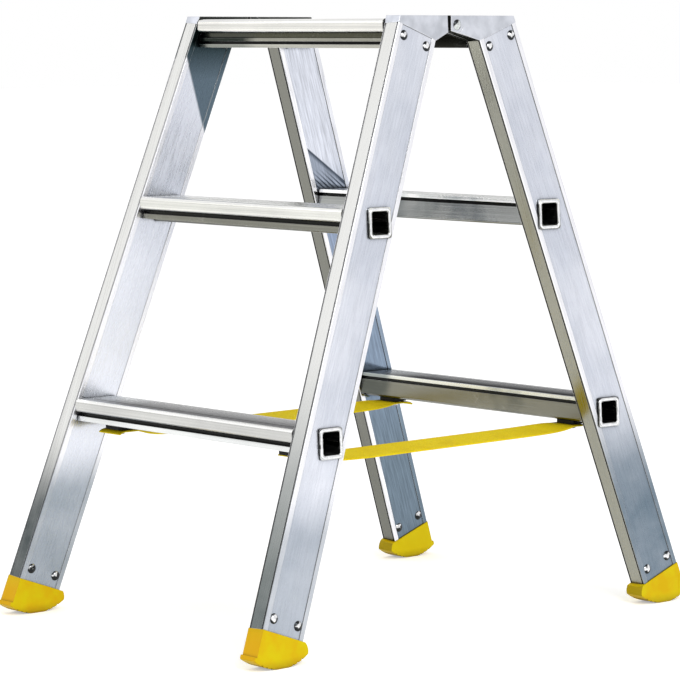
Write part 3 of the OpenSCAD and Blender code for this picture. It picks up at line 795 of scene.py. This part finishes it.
def makeFastenerFinish(name, kind):
    material, tree, shader = newFinish(name)
    look = fastenerFinish[kind]
    spots = noise(tree, objectPlace(tree), *fastenerFinish["spotNoise"])
    leftDark = combine(tree, "MULTIPLY", darkArcs(tree, look["leftArcs"]), onLeft(tree))
    tone = layers(tree, look["bright"], (
        (spread(tree, spots, *fastenerFinish["spots"]), look["dull"]),
        (combine(tree, "MAXIMUM", darkArcs(tree, look["arcs"]), leftDark), fastenerFinish["arc"]),
    ))
    tone = shadeCrevices(tree, tone, fastenerFinish)
    normal = fillGroup(tree, edgeWearAndHighlight, {"Radius": fastenerFinish["edgeRound"]})["Normal"]
    fillSockets(tree, shader, {"Base Color": tone, "Metallic": 1.0, "Normal": normal,
                               "Roughness": spread(tree, spots, *effects["noiseRange"], *look["rough"])})
    return material


footFinish = {
    "bright": (0.72, 0.57, 0.0),
    "deep": (0.72, 0.46, 0.0),
    "clouds": (0.35, 0.65),
    "cloudNoise": (45.0, 3.0),
    "poreNoise": (1400.0, 2.0),
    # painted light on the rear feet's faces that look into the ladder, with its share
    "rearInsideLight": (0.90, 0.71, 0.0),
    "rearInsideLightShare": 0.75,
    # painted shade on faces that look out of the frame
    "frontShade": (0.74, 0.41, 0.0),
    "frontTurn": (0.4, 0.8),
    # painted shade on faces that look into the ladder
    "heel": (0.42, 0.30, 0.0),
    "heelTurn": (-0.4, -0.9),
    "edge": (0.82, 0.68, 0.02),
    "scratches": (70.0, 0.4),
    "wearAndHighlight": (0.0014, 3.0, 0.45),
    # darker towards the floor, below this height and with this share
    "lowTone": (0.28, 0.18, 0.005),
    "lowToneTop": 0.012,
    "lowToneShare": 0.5,
    "gap": (0.18, 0.10, 0.0),
    "crevice": (0.004, 1.4, 1.4),
    "rough": (0.42, 0.56),
    "gloss": 0.12,
    "bump": (0.12, 0.0003),
}


def makeFootFinish():
    look = footFinish
    material, tree, shader = newFinish("mouldedFootPlastic")
    place = objectPlace(tree)
    clouds = noise(tree, place, *look["cloudNoise"])
    pores = noise(tree, place, *look["poreNoise"])
    outward = facing(tree)[2]
    tone = layers(tree, look["bright"], (
        (spread(tree, clouds, *look["clouds"]), look["deep"]),
        (combine(tree, "MULTIPLY", looksInside(tree), onRear(tree), look["rearInsideLightShare"]), look["rearInsideLight"]),
        (spread(tree, outward, *look["frontTurn"]), look["frontShade"]),
        (spread(tree, outward, *look["heelTurn"]), look["heel"]),
    ))
    tone = scratch(tree, tone, look, place)
    tone, normal = rubAndHighlightEdges(tree, tone, look)
    # darker towards the floor
    lowMask = fillGroup(tree, towardsFloor, {"Low": 0.0, "High": look["lowToneTop"]})["Mask"]
    tone = mixTone(tree, combine(tree, "MULTIPLY", lowMask, look["lowToneShare"]), tone, look["lowTone"])
    tone = shadeCrevices(tree, tone, look)
    fillSockets(tree, shader, {"Base Color": tone, "Specular IOR Level": look["gloss"],
                               "Roughness": spread(tree, clouds, *effects["noiseRange"], *look["rough"]),
                               "Normal": bumpNormal(tree, look, pores, normal)})
    return material


anchorFinish = {
    "black": (0.010, 0.010, 0.010),
    "dusty": (0.025, 0.025, 0.025),
    "dust": (0.45, 0.75),
    "dustNoise": (80.0, 4.0),
    "poreNoise": (600.0, 3.0),
    "edge": (0.06, 0.06, 0.06),
    "wearAndHighlight": (0.0008, 4.0, 0.5),
    "rough": (0.42, 0.6),
    "gloss": 0.15,
    "bump": (0.15, 0.0003),
}


def makeAnchorFinish():
    look = anchorFinish
    material, tree, shader = newFinish("blackAnchorPlastic")
    place = objectPlace(tree)
    pores = noise(tree, place, *look["poreNoise"])
    dust = noise(tree, place, *look["dustNoise"])
    tone = mixTone(tree, spread(tree, dust, *look["dust"]), look["black"], look["dusty"])
    tone, normal = rubAndHighlightEdges(tree, tone, look)
    fillSockets(tree, shader, {"Base Color": tone, "Specular IOR Level": look["gloss"],
                               "Roughness": spread(tree, dust, *effects["noiseRange"], *look["rough"]),
                               "Normal": bumpNormal(tree, look, pores, normal)})
    return material


strapFinish = {
    "thread": (0.94, 0.78, 0.012),
    "shade": (0.78, 0.54, 0.004),
    "soil": (0.70, 0.46, 0.004),
    "soilPatches": (0.52, 0.8, 0.0, 0.5),  # noise range, then the range of shares
    "soilNoise": (26.0, 3.0),
    "fuzzNoise": (700.0, 3.0),
    "fuzz": (0.86, 1.1),
    "picks": 260.0,  # weft threads along the strap
    "ends": 26.0,  # warp threads across it
    "rough": 0.72,
    "gloss": 0.1,
    "bump": (0.5, 0.0004),
}


def makeStrapFinish():  # plain weave on the strap's own map
    look = strapFinish
    material, tree, shader = newFinish("wovenStrap")
    layout = axesOf(tree, addNode(tree, "ShaderNodeUVMap", None, uv_map="UVMap").outputs["UV"])
    crossing = reckon(tree, "MULTIPLY", waves(tree, layout["X"], look["ends"]),
                      waves(tree, layout["Y"], look["picks"]))
    height = spread(tree, crossing, -1.0, 1.0)
    place = objectPlace(tree)
    fuzz = noise(tree, place, *look["fuzzNoise"])
    soil = spread(tree, noise(tree, place, *look["soilNoise"]), *look["soilPatches"])
    tone = layers(tree, look["shade"], ((height, look["thread"]), (soil, look["soil"])))
    tone = mixTone(tree, 1.0, tone, spread(tree, fuzz, *effects["noiseRange"], *look["fuzz"]), "MULTIPLY")
    fillSockets(tree, shader, {"Base Color": tone, "Roughness": look["rough"],
                               "Specular IOR Level": look["gloss"],
                               "Normal": bumpNormal(tree, look, height)})
    return material


finishes = {
    "stile_aluminium": makeStileFinish(),
    "tread_aluminium": makeTreadFinish(),
    "hinge_aluminium": makeHingeFinish(),
    "pin_steel": makeFastenerFinish("platedPin", "pin"),
    "rivet_metal": makeFastenerFinish("brightRivet", "rivet"),
    "screw_steel": makeFastenerFinish("platedScrew", "screw"),
    "foot_plastic": makeFootFinish(),
    "anchor_plastic": makeAnchorFinish(),
    "strap_webbing": makeStrapFinish(),
}


def dressNodes():  # each CAD node takes the finish of its slot
    slotOf = {part["node"]: part["material_slot"] for part in frame["record"]["subparts"]}
    for name, slot in slotOf.items():
        mesh = frame["nodes"][name].data
        mesh.materials.clear()
        mesh.materials.append(finishes[slot])


dressNodes()
print("finishes on the nodes")


# Straps
strapPiece = {
    "sag": 0.0042,
    "sagShift": 0.0018,  # lower in the front half
    "sagPower": 8,  # high, so the sag is even up to the anchors
    "tilt": 0.13,  # radians, right edge down, as both hang in the photo
    "tiltPower": 16,
    "wall": 0.0018,
    "edgeRound": 0.0006,
    "edgeSteps": 2,
    "columns": 9,
    "rows": 121,
    "clampLength": 0.026,  # flat under the anchor
    "tail": {"left": 0.004, "right": -0.005},  # past the CAD strap's end, the left one hangs down
    "tailStart": 0.004,
    "tailDrop": {"left": 0.003, "right": 0.0},
    "bendHalf": 0.247,
    "smoothTurn": math.radians(40),
}


def hangStrap(strap, hand, middle, length):  # sag, tilt and loose tail
    sizes = strapPiece
    freeHalf = length / 2 - sizes["clampLength"]
    tailLength = sizes["tail"][hand] + sizes["tailStart"]
    for vertex in strap.data.vertices:
        share = min(1.0, abs(vertex.co.y) / freeHalf)
        past = max(0.0, abs(vertex.co.y) - length / 2 + sizes["tailStart"])
        ahead = max(-1.0, min(1.0, -vertex.co.y / freeHalf))
        loose = 1 - share ** sizes["tiltPower"]
        vertex.co.z -= sizes["tailDrop"][hand] * (past / tailLength) ** 2
        vertex.co.z -= (sizes["sag"] + sizes["sagShift"] * ahead) * (1 - share ** sizes["sagPower"])
        vertex.co.z -= math.tan(sizes["tilt"]) * loose * (vertex.co.x - middle.x)


def makeStrap(hand):
    sizes = strapPiece
    low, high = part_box(hand + "_strap")
    middle = (low + high) / 2
    length = high.y - low.y
    deselectAll()
    bpy.ops.mesh.primitive_grid_add(x_subdivisions=sizes["columns"], y_subdivisions=sizes["rows"],
                                    size=1, location=middle)
    strap = bpy.context.object
    strap.name = hand + "WebbingStrap"
    strap.scale = (high.x - low.x, length + 2 * sizes["tail"][hand], 1)
    bpy.ops.object.transform_apply(location=True, rotation=True, scale=True)
    hangStrap(strap, hand, middle, length)
    solid = strap.modifiers.new("webbing", "SOLIDIFY")
    solid.thickness = sizes["wall"]
    solid.offset = 0
    soft = strap.modifiers.new("selvage", "BEVEL")
    soft.width = sizes["edgeRound"]
    soft.segments = sizes["edgeSteps"]
    soft.limit_method = "ANGLE"
    for step in ("webbing", "selvage"):
        bpy.ops.object.modifier_apply(modifier=step)
    bpy.ops.object.shade_smooth_by_angle(angle=sizes["smoothTurn"])
    strap.data.materials.append(finishes["strap_webbing"])
    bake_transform(strap)
    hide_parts(hand + "_strap")


for hand in ("left", "right"):
    makeStrap(hand)
print("straps made")


# Feet and hinge heads, with the radii that a mould gives
mouldedEdges = {
    "footEdge": 0.0022,
    "footSteps": 4,
    "footSide": 0.9,  # the edges of faces that look further sideways than this are rounded
    "soleHeight": 0.011,  # below this the grooves cut the outline, so it stays sharp there
    "capHeight": 0.05,  # the plug inside the stile starts near here
    "hingeEdge": 0.0007,
    "hingeSteps": 2,
    "minTurn": math.radians(28),
    "flatTurn": math.radians(1),
    "smoothTurn": math.radians(35),
    "mergeWithin": 0.00001,
}


def copyNode(name, newName):  # a merged copy of a CAD node, with flat faces joined
    deselectAll()
    copy = bpy.data.objects.new(newName, frame["nodes"][name].data.copy())
    bpy.context.collection.objects.link(copy)
    bpy.context.view_layer.objects.active = copy
    copy.select_set(True)
    bpy.ops.object.mode_set(mode="EDIT")
    bpy.ops.mesh.select_all(action="SELECT")
    bpy.ops.mesh.remove_doubles(threshold=mouldedEdges["mergeWithin"])
    bpy.ops.mesh.dissolve_limited(angle_limit=mouldedEdges["flatTurn"], delimit={"NORMAL"})
    bpy.ops.object.mode_set(mode="OBJECT")
    return copy


def finishCopy(copy, name, body):
    bpy.ops.object.shade_smooth_by_angle(angle=mouldedEdges["smoothTurn"])
    flat = copy.modifiers.new("flatFaces", "WEIGHTED_NORMAL")
    flat.keep_sharp = True
    bpy.ops.object.modifier_apply(modifier="flatFaces")
    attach(copy, body)
    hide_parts(name)


def roundEdges(copy, width, steps, wanted):  # bevels the edges that wanted() picks
    mesh = copy.data
    faceWays = {}
    for face in mesh.polygons:
        for key in face.edge_keys:
            faceWays.setdefault(key, []).append(face.normal.copy())
    bpy.ops.object.mode_set(mode="EDIT")
    bpy.ops.mesh.select_mode(type="EDGE")
    bpy.ops.mesh.select_all(action="DESELECT")
    bpy.ops.object.mode_set(mode="OBJECT")
    for edge in mesh.edges:
        ways = faceWays.get(tuple(sorted(edge.vertices)), [])
        ends = [mesh.vertices[v].co for v in edge.vertices]
        if len(ways) == 2 and ways[0].angle(ways[1]) > mouldedEdges["minTurn"] and wanted(ways, ends):
            edge.select = True
    bpy.ops.object.mode_set(mode="EDIT")
    bpy.ops.mesh.bevel(offset=width, segments=steps, profile=0.5, clamp_overlap=True)
    bpy.ops.object.mode_set(mode="OBJECT")


def makeFoot(end, hand):
    name = end + "_" + hand + "_foot"
    foot = copyNode(name, end + hand.capitalize() + "MouldedFoot")
    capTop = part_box(name)[0].z + mouldedEdges["capHeight"]

    def onShell(ways, ends):
        lowest = min(point.z for point in ends)
        turns = [abs(way.x) for way in ways]
        sideEdge = max(turns) > mouldedEdges["footSide"] > min(turns)
        return sideEdge and mouldedEdges["soleHeight"] < lowest < capTop

    roundEdges(foot, mouldedEdges["footEdge"], mouldedEdges["footSteps"], onShell)
    finishCopy(foot, name, end + "_frame")


def makeHingeHead(end, hand):
    name = end + "_" + hand + "_hinge_head"
    head = copyNode(name, end + hand.capitalize() + "CastHinge")
    roundEdges(head, mouldedEdges["hingeEdge"], mouldedEdges["hingeSteps"], lambda ways, ends: True)
    finishCopy(head, name, end + "_frame")


for end in ("front", "rear"):
    for hand in ("left", "right"):
        makeFoot(end, hand)
        makeHingeHead(end, hand)
print("feet and hinge heads softened")


# Swaged lips where the tread tubes come through the stiles
lipFinish = {
    "bright": (0.92, 0.92, 0.93),
    "dull": (0.72, 0.73, 0.75),
    "spots": (0.35, 0.7),
    "spotNoise": (160.0, 4.0),
    "shade": (0.10, 0.10, 0.09),
    "arcs": (((0, -0.9, -0.44), 0.55, 0.75), ((0, 0.0, 1.0), 0.75, 0.95)),
    "gap": (0.01, 0.01, 0.01),
    "crevice": (0.003, 0.9, 2.2),
    "rough": (0.12, 0.3),
}


def makeLipFinish():  # painted highlight on the crests, painted shade at the foot and along the top
    look = lipFinish
    material, tree, shader = newFinish("swagedLip")
    spots = noise(tree, objectPlace(tree), *look["spotNoise"])
    tone = layers(tree, look["bright"], ((spread(tree, spots, *look["spots"]), look["dull"]),
                                         (darkArcs(tree, look["arcs"]), look["shade"])))
    tone = shadeCrevices(tree, tone, look)
    fillSockets(tree, shader, {"Base Color": tone, "Metallic": 1.0,
                               "Roughness": spread(tree, spots, *effects["noiseRange"], *look["rough"])})
    return material


lipMaterial = makeLipFinish()
lipPiece = {
    "tubeWidth": 0.027,
    "tubeHeight": 0.028,
    "tubeCorner": 0.003,
    "cornerSteps": 6,
    "tubeSetback": 0.022,
    "tubeDrop": 0.0019,
    "spread": 0.0009,  # from the tube's outside to the crest of the bead
    "halfWidth": 0.0023,  # of the bead, seen from outside
    "stand": 0.0027,
    "round": 5,
}


def stileFace(y, z):  # x of a stile's outer face
    along = (ladder["tops"][2] - z) * leanCos + (abs(y) - ladder["topGap"] / 2) * leanSin
    return ladder["topWidth"] / 2 + along * flare


def makeLip(end, level, hand):
    sizes = lipPiece
    low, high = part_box(end + "_" + level + "_tread")
    nose = low.y if end == "front" else high.y
    inward = 1 if end == "front" else -1
    outward = 1 if hand == "right" else -1
    middleY = nose + inward * (sizes["tubeSetback"] + sizes["tubeWidth"] / 2)
    middleZ = ladder["tops"][("low", "mid").index(level)] - sizes["tubeDrop"] - sizes["tubeHeight"] / 2
    deselectAll()
    bpy.ops.mesh.primitive_plane_add(size=1, rotation=(0, math.radians(90), 0))
    lip = bpy.context.object
    lip.name = end + level.capitalize() + hand.capitalize() + "SwagedLip"
    lip.scale = (sizes["tubeHeight"] + 2 * sizes["spread"], sizes["tubeWidth"] + 2 * sizes["spread"], 1)
    bpy.ops.object.transform_apply(location=True, rotation=True, scale=True)
    bpy.ops.object.mode_set(mode="EDIT")
    bpy.ops.mesh.select_all(action="SELECT")
    bpy.ops.mesh.bevel(offset=sizes["tubeCorner"] + sizes["spread"], segments=sizes["cornerSteps"],
                       affect="VERTICES")
    bpy.ops.mesh.delete(type="ONLY_FACE")
    bpy.ops.object.mode_set(mode="OBJECT")
    bpy.ops.object.convert(target="CURVE")
    lip.data.bevel_depth = sizes["halfWidth"]
    lip.data.bevel_resolution = sizes["round"]
    bpy.ops.object.convert(target="MESH")
    lip = bpy.context.object
    stretch = sizes["stand"] / sizes["halfWidth"]
    for vertex in lip.data.vertices:
        vertex.co.y += middleY
        vertex.co.z += middleZ
        vertex.co.x = outward * (stileFace(vertex.co.y, vertex.co.z) + vertex.co.x * stretch)
    bpy.ops.object.mode_set(mode="EDIT")
    bpy.ops.mesh.select_all(action="SELECT")
    bpy.ops.mesh.remove_doubles(threshold=mouldedEdges["mergeWithin"])
    bpy.ops.mesh.normals_make_consistent(inside=False)
    bpy.ops.object.mode_set(mode="OBJECT")
    bpy.ops.object.shade_smooth()
    lip.data.materials.append(lipMaterial)
    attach(lip, end + "_frame")


for end in ("front", "rear"):
    for level in ("low", "mid"):
        for hand in ("left", "right"):
            makeLip(end, level, hand)
print("lips made")
